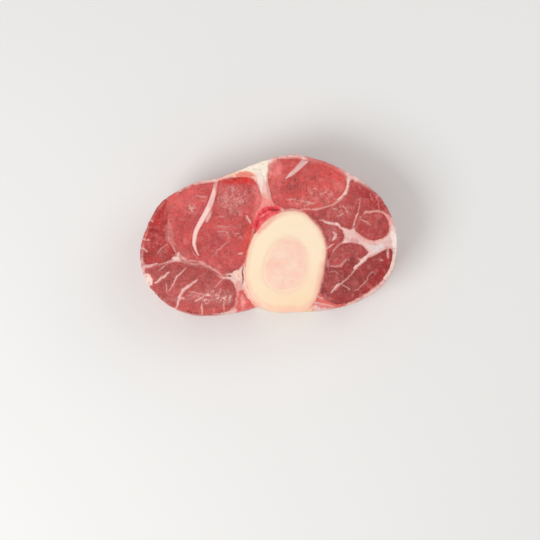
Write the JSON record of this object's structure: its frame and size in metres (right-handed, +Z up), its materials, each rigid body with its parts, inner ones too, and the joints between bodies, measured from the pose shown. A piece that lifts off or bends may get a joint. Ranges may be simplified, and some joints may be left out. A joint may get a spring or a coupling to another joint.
{
  "type": "raw beef shank",
  "caption": "Cross-cut slice of raw beef shank: a ring of bone with marrow in the middle of marbled red muscles, wrapped in pale fascia.",
  "frame": {"origin": "centre of the slice's outline, on the cut face that it lies on", "axes": "+X across the slice along its longest way, +Y up the cut face as pictured, +Z up through the thickness, along the bone"},
  "size_m": [0.1287, 0.0812, 0.0304],
  "materials": {
    "sawn_bone": "smooth sawn bone, cream, slightly damp",
    "marrow": "soft pinkish marrow fat, slightly damp",
    "fascia_and_fat": "pinkish white fascia and fat, damp",
    "vessels": "bright red vessels and soft tissue, wet",
    "tendon": "pale pink tendon, satin and damp",
    "raw_muscle": "raw red muscle cut across its fibres, finely marbled and damp"
  },
  "bodies": {
    "root": {"bone": "sawn_bone", "marrow": "marrow", "fascia": "fascia_and_fat", "vessels": "vessels", "tendon_left": "tendon", "tendon_top": "tendon", "muscle_left": "raw_muscle", "muscle_left_rim": "raw_muscle", "muscle_lower_left": "raw_muscle", "muscle_lower_tip": "raw_muscle", "muscle_top": "raw_muscle", "muscle_right_upper": "raw_muscle", "muscle_right_round": "raw_muscle", "muscle_right_inner": "raw_muscle", "muscle_right_middle": "raw_muscle", "muscle_right_lower": "raw_muscle"}
  },
  "joints": []
}
